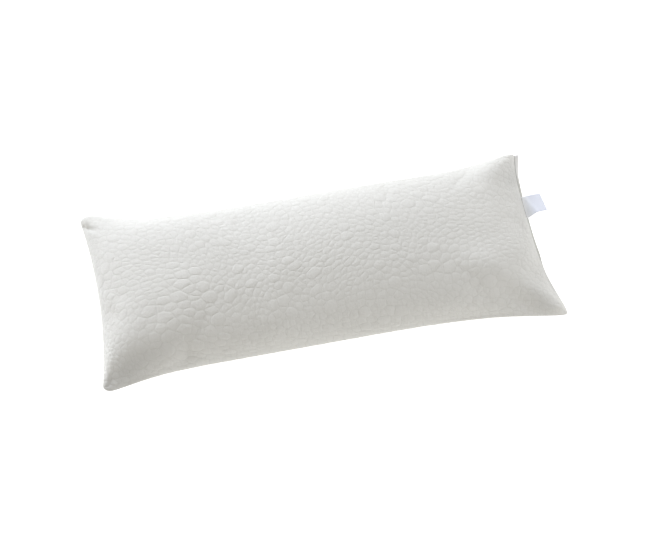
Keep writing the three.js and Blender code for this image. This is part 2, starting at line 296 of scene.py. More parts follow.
    def normals(self, u: Array, v: Array, face: Face, step: float = 1.0) -> Array:
        """The outward unit directions of the cover at places of the panel."""
        u = np.clip(u, step - self.half_length, self.half_length - step)
        v = np.clip(v, step - self.half_width, self.half_width - step)
        along = self.points(u + step, v, face) - self.points(u - step, v, face)
        over = self.points(u, v + step, face) - self.points(u, v - step, face)
        normal = np.cross(along, over) * face.value
        length = np.linalg.norm(normal, axis=-1, keepdims=True)
        return normal / np.maximum(length, NEARLY_NONE)


# The pebbles of the knit

@dataclass(frozen=True)
class Wave:
    """A wave over the panel: its height, its lengths along u and v over 2 pi, and its phase."""

    height: float
    length_u: float
    length_v: float
    phase: float = 0.0

    def at(self, u: Array, v: Array) -> Array:
        """Its height at places of the panel."""
        return self.height * np.sin(u / self.length_u + v / self.length_v + self.phase)


@dataclass(frozen=True)
class PebbleSize:
    """One pass of seeds: the range of their radius, and how many places are tried."""

    smallest: float
    largest: float
    tries: int


@dataclass(frozen=True)
class Cluster:
    """A patch of the panel with smaller pebbles."""

    u: float
    v: float
    radius: float
    scale: float


@dataclass
class PebbleField:
    """Rounded cells of many sizes that cover the flat panel.

    Cells are cut in a space where they are round, then stretched along the panel and
    warped a little, so that their sizes and directions vary as they do in the knit. The
    largest pebbles keep out of the clusters of small ones, and no seed is near the seam.
    """

    form: CoverForm
    stretch: float = 1.3
    passes: tuple[PebbleSize, ...] = (
        PebbleSize(7.8, 10.6, 330), PebbleSize(5.4, 7.0, 2200), PebbleSize(3.2, 4.4, 5000))
    clusters: tuple[Cluster, ...] = (
        Cluster(-430.0, 130.0, 60.0, 0.62), Cluster(-415.0, -110.0, 60.0, 0.7),
        Cluster(-300.0, 90.0, 45.0, 0.68), Cluster(-330.0, -20.0, 40.0, 0.72),
        Cluster(-210.0, 20.0, 45.0, 0.7), Cluster(-150.0, -120.0, 60.0, 0.74),
        Cluster(-110.0, 110.0, 40.0, 0.72), Cluster(-20.0, 40.0, 55.0, 0.62),
        Cluster(60.0, -60.0, 50.0, 0.68), Cluster(110.0, 120.0, 45.0, 0.72),
        Cluster(190.0, 20.0, 45.0, 0.7), Cluster(210.0, -130.0, 60.0, 0.7),
        Cluster(330.0, -10.0, 80.0, 0.66), Cluster(300.0, 120.0, 45.0, 0.75),
        Cluster(420.0, -140.0, 60.0, 0.62), Cluster(430.0, 60.0, 60.0, 0.66))
    warp_u: tuple[Wave, ...] = (Wave(11.0, math.inf, 39.0, 1.3), Wave(7.0, 53.0, 61.0))
    warp_v: tuple[Wave, ...] = (Wave(8.0, 71.0, math.inf, 0.4), Wave(5.0, 33.0, 47.0))
    spacing: float = 0.94
    largest_from_scale: float = 0.85
    edge_room: float = 0.55
    settling: int = 2
    neighbours: int = 26
    shortest_groove: float = 2.0
    seed: int = 73
    seeds: Array = field(init=False)
    radii: Array = field(init=False)

    def __post_init__(self) -> None:
        self._scatter()

    @property
    def half(self) -> Array:
        """The half sizes of the space in which the cells are cut."""
        return np.array([self.form.half_length / self.stretch, self.form.half_width])

    def _scale_at(self, place: Array) -> float:
        """How much smaller pebbles are at a place of the cutting space."""
        scale = 1.0
        for patch in self.clusters:
            away = math.hypot(place[0] * self.stretch - patch.u, place[1] - patch.v)
            scale *= 1.0 - (1.0 - patch.scale) * math.exp(-(away / patch.radius) ** 2)
        return scale

    def _scatter(self) -> None:
        """Places seeds from the largest pebbles to the smallest, none too near another."""
        random = np.random.default_rng(self.seed)
        half = self.half
        most = sum(step.tries for step in self.passes)
        places, radii, count = np.empty((most, 2)), np.empty(most), 0
        for step in self.passes:
            for place, share in zip(random.uniform(-half, half, (step.tries, 2)),
                                    random.random(step.tries)):
                scale = self._scale_at(place)
                if scale < self.largest_from_scale and step is self.passes[0]:
                    continue
                radius = scale * (step.smallest + (step.largest - step.smallest) * share)
                if np.any(half - np.abs(place) < self.edge_room * radius):
                    continue
                away = places[:count] - place
                limit = self.spacing * (radii[:count] + radius)
                if np.all((away * away).sum(axis=1) > limit * limit):
                    places[count], radii[count] = place, radius
                    count += 1
        self.seeds, self.radii = places[:count], radii[:count]
        for _ in range(self.settling):
            self.seeds = np.array([self._middle(cell) for cell in self._cells()])
        log.info("pebbles: %d", count)

    @staticmethod
    def _middle(cell: list[tuple]) -> Array:
        """The middle of a cell's area."""
        ring = np.array([(x, y) for x, y, _ in cell])
        after = np.roll(ring, -1, axis=0)
        cross = ring[:, 0] * after[:, 1] - after[:, 0] * ring[:, 1]
        return ((ring + after) * cross[:, None]).sum(axis=0) / (3.0 * cross.sum())

    @staticmethod
    def _clip(polygon: list[tuple], nx: float, ny: float, limit: float, name: int) -> list[tuple]:
        """The part of a convex polygon of (x, y, line) where nx x + ny y is within limit."""
        kept = []
        outside = [nx * p[0] + ny * p[1] - limit for p in polygon]
        for index, start in enumerate(polygon):
            after = (index + 1) % len(polygon)
            if outside[index] <= 0:
                kept.append(start)
            if (outside[index] <= 0) != (outside[after] <= 0):
                share = outside[index] / (outside[index] - outside[after])
                stop = polygon[after]
                kept.append((start[0] + share * (stop[0] - start[0]),
                             start[1] + share * (stop[1] - start[1]),
                             name if outside[index] <= 0 else start[2]))
        return kept

    def _cells(self) -> list[list[tuple]]:
        """The cell of each seed, as corners of (x, y, key of the three lines there)."""
        half = self.half
        sheet = [(-half[0], -half[1], -1), (half[0], -half[1], -2),
                 (half[0], half[1], -3), (-half[0], half[1], -4)]
        weight = self.radii ** 2
        cells = []
        for self_index, seed in enumerate(self.seeds):
            away = np.hypot(*(self.seeds - seed).T)
            polygon = sheet
            for other in np.argsort(away)[1:self.neighbours + 1]:
                delta = self.seeds[other] - seed
                limit = (self.seeds[other] @ self.seeds[other] - seed @ seed
                         + weight[self_index] - weight[other]) / 2
                polygon = self._clip(polygon, delta[0], delta[1], limit, int(other))
            cells.append([
                (p[0], p[1], tuple(sorted((self_index, polygon[index - 1][2], p[2]))))
                for index, p in enumerate(polygon)])
        return cells

    def _warp(self, x: Array, y: Array) -> tuple[Array, Array]:
        """Cutting space to panel, with the panel's outline kept."""
        u, v = x * self.stretch, y
        inside_u = 1.0 - (u / self.form.half_length) ** 4
        inside_v = 1.0 - (v / self.form.half_width) ** 4
        moved_u = sum(wave.at(u, v) for wave in self.warp_u)
        moved_v = sum(wave.at(u, v) for wave in self.warp_v)
        return u + moved_u * inside_u, v + moved_v * inside_v

    def _edges_at(self, place: tuple) -> int:
        """On how many edges of the cutting space a place lies."""
        return int((np.abs(np.abs(place) - self.half) < ON_EDGE).sum())

    def rings(self) -> tuple[Array, list[list[int]], Array]:
        """Joins corners that nearly meet, and gives the cells as rings of shared corners.

        Returns:
            The corners as rows of u, v; the corner numbers of each cell; and whether
            each corner lies on the panel's edge.
        """
        cells = self._cells()
        by_key = {key: (x, y) for cell in cells for x, y, key in cell}
        shared = np.empty((len(by_key), 2))
        number: dict[tuple, int] = {}
        count = 0
        for key, place in sorted(by_key.items(), key=lambda item: -self._edges_at(item[1])):
            gaps = np.hypot(*(shared[:count] - place).T)
            if count and gaps.min() < self.shortest_groove:
                number[key] = int(np.argmin(gaps))
            else:
                number[key] = count
                shared[count] = place
                count += 1
        rings = []
        for cell in cells:
            ring = [number[key] for _, _, key in cell]
            ring = [n for index, n in enumerate(ring) if n != ring[(index + 1) % len(ring)]]
            rings.append(ring)
        shared = shared[:count]
        edge = np.array([self._edges_at(place) > 0 for place in shared])
        return np.stack(self._warp(*shared.T), axis=1), rings, edge


# Meshes

@dataclass
class Mesh:
    """A mesh under construction, in millimetres."""

    points: list[Array] = field(default_factory=list)
    faces: list[tuple[int, ...]] = field(default_factory=list)
    count: int = 0

    def add(self, rows: Array) -> Array:
        """Adds points and returns their numbers."""
        rows = np.asarray(rows, float).reshape(-1, 3)
        self.points.append(rows)
        start = self.count
        self.count += len(rows)
        return np.arange(start, self.count)

    def band(self, first: Sequence[int], second: Sequence[int]) -> None:
        """Joins two rings of points with quads."""
        size = len(first)
        for k in range(size):
            n = (k + 1) % size
            self.faces.append((first[k], first[n], second[n], second[k]))

    def build(self, name: str, material: bpy.types.Material) -> bpy.types.Object:
        """Makes the Blender object, smooth shaded, and links it to the scene."""
        data = bpy.data.meshes.new(name)
        data.from_pydata((np.vstack(self.points) * MM).tolist(), [], self.faces)
        data.polygons.foreach_set("use_smooth", np.ones(len(data.polygons), bool))
        data.materials.append(material)
        data.update()
        return add_object(name, data)


@dataclass(frozen=True)
class Ring:
    """One ring of a pebble, from its groove inward.

    Attributes:
        inset: How far it lies inside the groove, in millimetres.
        share: The most of the way to the pebble's middle that it may go.
        height: Its share of the pebble's height.
        rounding: How often its corners are rounded off.
    """

    inset: float
    share: float
    height: float
    rounding: int

    def inside(self, rim: Array) -> Array:
        """The ring's places on the panel, inside the groove round a pebble."""
        shape = rim
        for _ in range(self.rounding):
            shape = 0.5 * shape + 0.25 * (np.roll(shape, 1, 0) + np.roll(shape, -1, 0))
        way = rim.mean(axis=0) - shape
        reach = np.maximum(np.linalg.norm(way, axis=1, keepdims=True), NEARLY_NONE)
        return shape + way * np.minimum(self.share, self.inset / reach)


@dataclass(frozen=True)
class Grooves:
    """The grooves between the pebbles, as points on the panel.

    Attributes:
        places: Rows of u, v.
        loops: The numbers of the points round each pebble.
        on_seam: Whether each point lies on the seam.
        sills: How far the groove is raised at each point, as a share of the relief.
    """

    places: Array
    loops: list[list[int]]
    on_seam: Array
    sills: Array


@dataclass
class Relief:
    """The points of the relief as places on the panel, before they are lifted to the form."""

    parts: list[tuple] = field(default_factory=list)
    count: int = 0

    def add(self, places: Array, level: Array, inside: Array, face: Face,
            tone: float) -> Array:
        """Adds points of one face.

        Args:
            places: Rows of u, v.
            level: Each point's share of the relief.
            inside: Each point's distance from the groove, in millimetres.
            face: The face that they are on.
            tone: The tone of their pebble.

        Returns:
            Their numbers.
        """
        size = len(places)
        self.parts.append((places, level, inside, np.full(size, face is Face.TOP),
                           np.full(size, tone)))
        self.count += size
        return np.arange(self.count - size, self.count)

    def rows(self) -> tuple[Array, ...]:
        """All places, levels, distances from the groove, whether on the top face, and tones."""
        places, *others = zip(*self.parts)
        return np.vstack(places), *(np.concatenate(other) for other in others)


@dataclass(frozen=True)
class SettledCloth:
    """How far the simulated cloth stands off the plain form, on a grid of the panel."""

    u: Array
    v: Array
    offsets: dict[Face, Array]

    def at(self, u: Array, v: Array, face: Face) -> Array:
        """The offset in millimetres at places of the panel."""
        column = np.clip((u - self.u[0]) / (self.u[1] - self.u[0]), 0.0, len(self.u) - 1.001)
        row = np.clip((v - self.v[0]) / (self.v[1] - self.v[0]), 0.0, len(self.v) - 1.001)
        i, j = column.astype(int), row.astype(int)
        a, b = column - i, row - j
        grid = self.offsets[face]
        return ((1 - a) * ((1 - b) * grid[i, j] + b * grid[i, j + 1])
                + a * ((1 - b) * grid[i + 1, j] + b * grid[i + 1, j + 1]))


@dataclass
class ClothSettling:
    """Blows the two sewn panels out over the foam, as cloth.

    The panels are cut a little longer than the filled form, so they pucker where the
    seam draws in. Only the folds are kept: the broad shape stays that of the form, and
    no point moves farther than the cap. The top face is smoothed by hand, so it keeps a
    smaller share of its folds than the bottom.
    """

    form: CoverForm
    columns: int = 120
    rows: int = 48
    cut: tuple[float, float] = (0.985, 1.0)
    slack: float = 0.985
    pressure: float = 4.0
    frames: int = 20
    blur: int = 30
    cap: float = 3.0
    from_seam: float = 12.0
    kept: tuple[float, float] = (0.5, 1.0)

    def _sew(self, u: Array, v: Array) -> tuple[bpy.types.Object, dict[Face, Array]]:
        """The two panels as one closed mesh, with the numbers of each face's points."""
        panel = np.stack([u.ravel(), v.ravel()], axis=1)
        rim = (self.form.to_seam(u, v) < ON_EDGE).ravel()
        top = np.arange(len(panel))
        bottom = top.copy()
        bottom[~rim] = len(panel) + np.arange((~rim).sum())
        filled = np.vstack([self.form.points(*panel.T, Face.TOP),
                            self.form.points(*panel[~rim].T, Face.BOTTOM)])
        middle = np.array([0.0, 0.0, self.form.seam_height])
        filled = middle + (filled - middle) * self.slack
        flat = np.column_stack([np.vstack([panel, panel[~rim]]) * self.cut, np.zeros(len(filled))])
        quads = []
        for face, numbers in ((Face.TOP, top), (Face.BOTTOM, bottom)):
            grid = numbers.reshape(u.shape)
            ring = (grid[:-1, :-1], grid[1:, :-1], grid[1:, 1:], grid[:-1, 1:])
            quads += np.stack([side.ravel() for side in ring[::face.value]], axis=1).tolist()
        data = bpy.data.meshes.new("settling_cloth")
        data.from_pydata((filled * MM).tolist(), [], quads)
        cloth = add_object("settling_cloth", data)
        cloth.shape_key_add(name="filled")
        cut = cloth.shape_key_add(name="cut")
        cut.data.foreach_set("co", (flat * MM).ravel())
        return cloth, {Face.TOP: top, Face.BOTTOM: bottom}

    def _simulate(self, cloth: bpy.types.Object) -> Array:
        """Runs the simulation and gives the points in millimetres."""
        modifier = cloth.modifiers.new("cloth", "CLOTH")
        settings = modifier.settings
        settings.quality = 5
        settings.mass = 0.3
        settings.tension_stiffness = settings.compression_stiffness = 20.0
        settings.bending_stiffness = 0.4
        settings.use_pressure = True
        settings.uniform_pressure_force = self.pressure
        settings.effector_weights.gravity = 0.0
        settings.rest_shape_key = cloth.data.shape_keys.key_blocks["cut"]
        modifier.collision_settings.use_collision = False
        modifier.point_cache.frame_start, modifier.point_cache.frame_end = 1, self.frames
        scene = bpy.context.scene
        for frame_number in range(1, self.frames + 1):
            scene.frame_set(frame_number)
        settled = cloth.evaluated_get(bpy.context.evaluated_depsgraph_get())
        points = np.empty(len(cloth.data.vertices) * 3, np.float32)
        settled.data.vertices.foreach_get("co", points)
        scene.frame_set(1)
        return points.reshape(-1, 3).astype(float) / MM

    def _folds(self, offset: Array) -> Array:
        """What is left of the offsets without their broad part, within the cap."""
        broad = offset
        for _ in range(self.blur):
            padded = np.pad(broad, 1, mode="edge")
            broad = (padded[:-2, 1:-1] + padded[2:, 1:-1] + padded[1:-1, :-2] + padded[1:-1, 2:]
                     + padded[1:-1, 1:-1]) / 5.0
        return self.cap * np.tanh((offset - broad) / self.cap)

    def run(self) -> SettledCloth:
        """Simulates the cloth.

        Returns:
            The folds of both faces as offsets along the form's normals.
        """
        half_u, half_v = self.form.half_length, self.form.half_width
        line_u = np.linspace(-half_u, half_u, self.columns + 1)
        line_v = np.linspace(-half_v, half_v, self.rows + 1)
        u, v = np.meshgrid(line_u, line_v, indexing="ij")
        cloth, numbers = self._sew(u, v)
        points = self._simulate(cloth)
        offsets = {}
        for face, kept in zip((Face.TOP, Face.BOTTOM), self.kept):
            moved = points[numbers[face]].reshape(*u.shape, 3) - self.form.points(u, v, face)
            offset = (moved * self.form.normals(u, v, face)).sum(axis=-1)
            near = smoothstep(self.form.to_seam(u, v), 0.0, self.from_seam)
            offsets[face] = kept * near * self._folds(offset)
            log.info("folds of %s: %.2f mm at most, %.2f mm spread", face.name,
                     np.abs(offsets[face]).max(), offsets[face].std())
        bpy.data.objects.remove(cloth)
        return SettledCloth(line_u, line_v, offsets)


@dataclass(frozen=True)
class ReliefShare:
    """How much of the relief shows, from place to place on the panel.

    It is less beside the seam and toward the left end, and most at the left front corner.
    """

    at_seam: float = 0.35
    from_seam: tuple[float, float] = (1.0, 22.0)
    less_left: float = 0.35
    left_end: tuple[float, float] = (260.0, 400.0)
    more_in_corner: float = 0.6
    corner_u: tuple[float, float] = (360.0, 425.0)
    corner_v: tuple[float, float] = (50.0, 110.0)

    def at(self, u: Array, v: Array, to_seam: Array) -> Array:
        """The share at places of the panel, from their distance to the seam."""
        corner = smoothstep(-u, *self.corner_u) * smoothstep(-v, *self.corner_v)
        left_end = smoothstep(-u, *self.left_end) * (1.0 - corner)
        beside_seam = self.at_seam + (1.0 - self.at_seam) * smoothstep(to_seam, *self.from_seam)
        return beside_seam * (1.0 - self.less_left * left_end + self.more_in_corner * corner)


@dataclass(frozen=True)
class Lip:
    """The low round ridge of the cover along both sides of its seam, in millimetres."""

    height: float = 0.8
    middle: float = 5.0
    width: float = 3.5
    begins_by: float = 3.0

    def at(self, to_seam: Array) -> Array:
        """Its height at a distance from the seam."""
        round_top = np.exp(-((to_seam - self.middle) / self.width) ** 2)
        return self.height * round_top * smoothstep(to_seam, 0.0, self.begins_by)


@dataclass
class PebbleCover:
    """The knitted cover: one closed mesh whose edges run along the grooves.

    Attributes:
        form: The filled form.
        pebbles: The cells of the knit.
        settled: The folds of the simulated cloth, or None without them.
        step: The length of one edge along a groove.
        rise: The height of a full pebble over its groove.
        sill: The most that the middle of a groove rises, as a share of that height.
        wobble: The most that a groove bends, as a share of its length.
        top_rings: The rings of each pebble on the top face.
        bottom_rings: Those on the bottom face, where a pebble is one low cone.
        floor_groove: How far the floor leaves the grooves of the pressed face open.
        high: The range of the pebbles' heights, as shares.
        full_radius: The radius of the smallest pebble of full height.
        lowest: The height of the smallest pebbles, as a share.
        tucks: The gathers at the corners, in millimetres.
        patches: Soft patches of painted light and shade on the top face, whose height is a share
            of the knit's lightness.
    """

    form: CoverForm
    pebbles: PebbleField
    settled: SettledCloth | None = None
    step: float = 3.5
    rise: float = 1.13
    relief: ReliefShare = ReliefShare()
    lip: Lip = Lip()
    sill: float = 0.2
    wobble: float = 0.07
    top_rings: tuple[Ring, ...] = (Ring(1.0, 0.25, 0.5, 2), Ring(3.0, 0.5, 0.86, 4))
    bottom_rings: tuple[Ring, ...] = ()
    floor_groove: float = 0.9
    high: tuple[float, float] = (0.8, 1.08)
    full_radius: float = 8.0
    lowest: float = 0.6
    tucks: tuple[Swell, ...] = (
        Swell(-432.0, 140.0, 19.0, 4.5, -0.33, -5.0),
        Swell(-436.0, 158.0, 14.0, 9.0, -0.3, 2.5),
        Swell(432.0, -160.0, 26.0, 3.5, 2.5, -1.1),
        Swell(424.0, -166.0, 24.0, 3.0, 2.75, -1.0),
        Swell(438.0, -152.0, 24.0, 3.5, 2.2, -1.0),
        Swell(-432.0, -158.0, 30.0, 5.0, 0.95, -1.8))
    tuck_from_seam: float = 4.0
    # Painted light and shade: lighter and darker patches in the top face's colour.
    patches: tuple[Swell, ...] = (
        Swell(-388, -137, 74, 35, 1.01, -0.070),
        Swell(428, 114, 150, 30, 0.20, -0.041),
        Swell(-213, -170, 150, 14, -0.03, -0.078),
        Swell(433, -159, 10, 73, 0.23, 0.090),
        Swell(188, -6, 150, 90, -0.15, -0.031),
        Swell(-441, -168, 11, 18, 0.04, -0.110),
        Swell(321, -167, 150, 17, -0.17, 0.062),
        Swell(-285, 143, 150, 90, 1.10, -0.025),
        Swell(-133, 157, 150, 90, 1.41, -0.026),
        Swell(-420, 51, 16, 83, 0.06, -0.065),
        Swell(-373, -136, 101, 18, 0.34, -0.095),
        Swell(-421, 155, 19, 9, -0.07, 0.110),
        Swell(395, -152, 14, 33, 0.56, -0.069),
        Swell(423, 110, 28, 43, -0.67, -0.083),
        Swell(426, 159, 54, 7, 0.33, 0.063),
        Swell(332, 91, 16, 11, -0.14, 0.059),
        Swell(-327, -156, 46, 7, 0.47, 0.027),
        Swell(-423, -127, 9, 20, -0.42, 0.041),
        Swell(-436, 15, 13, 105, 0.0, -0.040),
        Swell(-443, 170, 7, 12, 0.0, -0.150))

    def _grooves(self) -> Grooves:
        """Divides every groove into short steps, with a slight bend and a sill in each."""
        corners, rings, edge = self.pebbles.rings()
        random = np.random.default_rng(self.pebbles.seed + 1)
        places, on_seam = list(map(tuple, corners)), list(edge)
        sills = [0.0] * len(places)
        divided: dict[tuple[int, int], list[int]] = {}
        half = np.array([self.form.half_length, self.form.half_width])
        for ring in rings:
            for k, a in enumerate(ring):
                b = ring[(k + 1) % len(ring)]
                pair = (min(a, b), max(a, b))
                if pair in divided:
                    continue
                start, stop = np.array(places[pair[0]]), np.array(places[pair[1]])
                length = np.linalg.norm(stop - start)
                steps = max(1, round(length / self.step))
                along_seam = bool(edge[a] and edge[b] and np.any(
                    (np.abs(np.abs(start) - half) < ON_EDGE) & (np.abs(start - stop) < ON_EDGE)))
                side = np.array([start[1] - stop[1], stop[0] - start[0]])
                bend = 0.0 if along_seam else self.wobble * random.uniform(-1.0, 1.0)
                sill = 0.0 if along_seam else self.sill * random.random()
                made = []
                for t in np.arange(1, steps) / steps:
                    place = start + (stop - start) * t + side * bend * math.sin(math.pi * t)
                    made.append(len(places))
                    places.append(tuple(place))
                    on_seam.append(along_seam)
                    sills.append(sill * math.sin(math.pi * t))
                divided[pair] = made
        loops = []
        for ring in rings:
            loop: list[int] = []
            for k, a in enumerate(ring):
                b = ring[(k + 1) % len(ring)]
                between = divided[(min(a, b), max(a, b))]
                loop += [a, *(between if a < b else between[::-1])]
            loops.append(loop)
        return Grooves(np.array(places), loops, np.array(on_seam), np.array(sills))

    def _lift(self, places: Array, heights: Array, face: Face) -> Array:
        """Points of the cover, raised by the relief, and pressed flat by the floor."""
        u, v = places.T
        to_seam = self.form.to_seam(u, v)
        out = heights * self.rise * self.relief.at(u, v, to_seam) + self.lip.at(to_seam)
        if face is Face.TOP:
            near = smoothstep(to_seam, 0.0, self.tuck_from_seam)
            out = out + near * sum(tuck.at(u, v) for tuck in self.tucks)
        if self.settled is not None:
            out = out + self.settled.at(u, v, face)
        points = self.form.points(u, v, face) + self.form.normals(u, v, face) * out[:, None]
        if face is Face.BOTTOM:
            points[:, 2] = np.maximum(points[:, 2], self.floor_groove * (1.0 - heights))
        return points

    @staticmethod
    def _pebble(mesh: Mesh, sheet: Relief, rim: Array, numbers: Array, face: Face,
                rings: Sequence[Ring], height: float, tone: float) -> None:
        """Fills one cell on one face, from the groove round it to its middle.

        Args:
            mesh: Gets the faces.
            sheet: Gets the points.
            rim: The places of the groove's points, and numbers their numbers.
            face: The face of the cover.
            rings: The rings of the pebble there.
            height: The pebble's height, as a share of the relief.
            tone: Its tone.
        """
        middle = rim.mean(axis=0)
        before = numbers[::face.value]
        for row in rings:
            places = row.inside(rim)
            depth = np.linalg.norm(places - rim, axis=1)
            ring = sheet.add(places[::face.value], np.full(len(rim), row.height * height),
                             depth[::face.value], face, tone)
            mesh.band(before, ring)
            before = ring
        depth = np.linalg.norm(rim - middle, axis=1).mean(keepdims=True)
        centre = sheet.add(middle[None], np.array([height]), depth, face, tone)[0]
        for k in range(len(before)):
            mesh.faces.append((before[k], before[(k + 1) % len(before)], centre))

    def build(self, name: str, material: bpy.types.Material) -> bpy.types.Object:
        """Makes the cover.

        Args:
            name: The name of the piece.
            material: Its knit.

        Returns:
            The closed mesh, with a panel map and three values at each point: inside, the
            distance from the groove in millimetres; tone, one for each pebble; and handled,
            the painted light and shade from the patches, on the top face.
        """
        cut = self._grooves()
        random = np.random.default_rng(self.pebbles.seed + 2)
        tones = random.random(len(cut.loops))
        heights = random.uniform(*self.high, len(cut.loops)) * np.clip(
            self.pebbles.radii / self.full_radius, self.lowest, 1.0)

        sheet = Relief()
        top = sheet.add(cut.places, cut.sills, np.zeros(len(cut.places)), Face.TOP, 0.5)
        bottom = top.copy()
        free = np.flatnonzero(~cut.on_seam)
        bottom[free] = sheet.add(cut.places[free], cut.sills[free], np.zeros(len(free)),
                                 Face.BOTTOM, 0.5)
        mesh = Mesh()
        for loop, height, tone in zip(cut.loops, heights, tones):
            for face, numbers, rings in ((Face.TOP, top, self.top_rings),
                                         (Face.BOTTOM, bottom, self.bottom_rings)):
                self._pebble(mesh, sheet, cut.places[loop], numbers[loop], face, rings,
                             height, tone)
        flat, level, inside, is_top, shades = sheet.rows()
        points = np.empty((len(flat), 3))
        for face, chosen in ((Face.TOP, is_top), (Face.BOTTOM, ~is_top)):
            points[chosen] = self._lift(flat[chosen], level[chosen], face)
        mesh.add(points)
        made = mesh.build(name, material)
        # Painted light and shade from the patches, on the top face only.
        handled = 1.0 + sum(patch.at(*flat.T) for patch in self.patches) * is_top
        for label, values in (("inside", inside), ("tone", shades), ("handled", handled)):
            layer = made.data.attributes.new(label, "FLOAT", "POINT")
            layer.data.foreach_set("value", values.astype(np.float32))
        panel_map(made.data, flat)
        return made


# Finishes

class Nodes:
    """A short way to write node trees."""

    def __init__(self, tree: bpy.types.NodeTree) -> None:
        self.tree = tree

    def add(self, kind: str, inputs: dict | None = None, **settings) -> bpy.types.Node:
        """Adds a node, sets its properties, and fills or links its inputs."""
        node = self.tree.nodes.new(kind)
        for key, value in settings.items():
            setattr(node, key, value)
        for key, value in (inputs or {}).items():
            if isinstance(value, Socket):
                self.tree.links.new(value, node.inputs[key])
            else:
                node.inputs[key].default_value = value
        return node

    def math(self, operation: str, *values, clamp: bool = False) -> Socket:
        """A Math node of up to three values or sockets."""
        node = self.add("ShaderNodeMath", dict(enumerate(values)), operation=operation)
        node.use_clamp = clamp
        return node.outputs[0]

    def mix(self, factor, a, b) -> Socket:
        """A colour mix: a at factor 0 and b at factor 1."""
        node = self.add("ShaderNodeMix", {0: factor, 6: a, 7: b}, data_type="RGBA")
        return node.outputs[2]

    def weigh(self, total, value, middle: float, weight, clamp: bool = False) -> Socket:
        """Adds to a total how far a value is from its middle, times a weight."""
        return self.math("ADD", total, self.math(
            "MULTIPLY", self.math("SUBTRACT", value, middle), weight), clamp=clamp)

    def fade(self, value, reach) -> Socket:
        """Falls in a straight line from 1 at 0 to 0 at the reach."""
        return self.math("SUBTRACT", 1.0, self.math("DIVIDE", value, reach), clamp=True)

    def value_of(self, attribute: str) -> Socket:
        """A value that is kept at the points of the mesh."""
        return self.add("ShaderNodeAttribute", attribute_name=attribute).outputs["Fac"]

    def place(self) -> Socket:
        """The place on the flat cloth, in metres."""
        return self.add("ShaderNodeUVMap", uv_map="panel").outputs[0]

    def parts(self, place: Socket) -> bpy.types.NodeOutputs:
        """The x, y and z of a place."""
        return self.add("ShaderNodeSeparateXYZ", {0: place}).outputs

    def use(self, tree: bpy.types.NodeTree, **inputs) -> bpy.types.NodeOutputs:
        """Places a node group and gives its outputs."""
        return self.add("ShaderNodeGroup", inputs, node_tree=tree).outputs

    def bump(self, shader: bpy.types.Node, height, strength: float, depth: float) -> None:
        """Presses a height into the surface of a shader, to a depth in metres."""
        node = self.add("ShaderNodeBump", {"Height": height, "Strength": strength,
                                           "Distance": depth})
        self.tree.links.new(node.outputs[0], shader.inputs["Normal"])


def group(name: str, inputs: dict[str, float | None], outputs: Sequence[str],
          fill: Callable[[Nodes, dict], dict]) -> bpy.types.NodeTree:
    """A shader node group that puts out plain values.

    Args:
        name: Its name.
        inputs: The default of each input by name, or None for a place.
        outputs: The names of its outputs.
        fill: Builds the nodes from the input sockets and returns the output sockets.

    Returns:
        The group's node tree.
    """
    tree = bpy.data.node_groups.new(name, "ShaderNodeTree")
    for label, default in inputs.items():
        kind = "NodeSocketVector" if default is None else "NodeSocketFloat"
        socket = tree.interface.new_socket(label, in_out="INPUT", socket_type=kind)
        if default is not None:
            socket.default_value = default
    for label in outputs:
        tree.interface.new_socket(label, in_out="OUTPUT", socket_type="NodeSocketFloat")
    nodes = Nodes(tree)
    entry = tree.nodes.new("NodeGroupInput")
    leave = tree.nodes.new("NodeGroupOutput")
    for label, socket in fill(nodes, {s.name: s for s in entry.outputs if s.name}).items():
        tree.links.new(socket, leave.inputs[label])
    return tree


def knit_loops() -> bpy.types.NodeTree:
    """Rows of knitted loops: a height from 0 to 1 at a place on the cloth in metres."""

    def fill(n: Nodes, given: dict) -> dict:
        parts = n.parts(given["Place"])
        x = n.math("MULTIPLY", parts[0], n.math("DIVIDE", PER_METRE, given["Wale"]))
        y = n.math("MULTIPLY", parts[1], n.math("DIVIDE", PER_METRE, given["Course"]))
        beside = n.math("ABSOLUTE", n.math("SUBTRACT", n.math("FRACT", x), 0.5))
        slanted = n.math("ADD", y, n.math("MULTIPLY", beside, 0.9))
        loops = n.math("ABSOLUTE", n.math("SINE", n.math("MULTIPLY", slanted, math.pi)))
        legs = n.math("SINE", n.math("MULTIPLY", beside, 2 * math.pi))
        return {"Height": n.math("MULTIPLY", n.math("ADD", n.math("MULTIPLY", loops, 0.55), 0.45),
                                 n.math("ADD", n.math("MULTIPLY", legs, 0.6), 0.4))}

    return group("KnitLoops", {"Place": None, "Wale": 1.25, "Course": 1.0}, ["Height"], fill)


def cloth_tone() -> bpy.types.NodeTree:
    """Soft uneven tone of cloth: a broad cloud, and fine streaks along the wales."""

    def fill(n: Nodes, given: dict) -> dict:
        cloud = n.add("ShaderNodeTexNoise", {"Vector": given["Place"], "Scale": 14.0,
                                             "Detail": 3.0, "Roughness": 0.55})
        thin = n.add("ShaderNodeVectorMath", {0: given["Place"], 1: (1.0, 0.12, 1.0)},
                     operation="MULTIPLY")
        streak = n.add("ShaderNodeTexNoise", {"Vector": thin.outputs[0], "Scale": 260.0,
                                              "Detail": 2.0, "Roughness": 0.6})
        return {"Cloud": cloud.outputs["Fac"], "Streak": streak.outputs["Fac"]}

    return group("ClothTone", {"Place": None}, ["Cloud", "Streak"], fill)


def weave() -> bpy.types.NodeTree:
    """A plain weave: a height from 0 to 1 at a place in metres, for a thread pitch."""

    def fill(n: Nodes, given: dict) -> dict:
        parts = n.parts(given["Place"])
        turn = n.math("DIVIDE", PER_METRE * math.pi, given["Pitch"])
        warp = n.math("SINE", n.math("MULTIPLY", parts[0], turn))
        weft = n.math("SINE", n.math("MULTIPLY", parts[1], turn))
        over = n.math("MULTIPLY", warp, weft)
        return {"Height": n.math("MULTIPLY_ADD", over, 0.5, 0.5)}

    return group("PlainWeave", {"Place": None, "Pitch": 0.5}, ["Height"], fill)


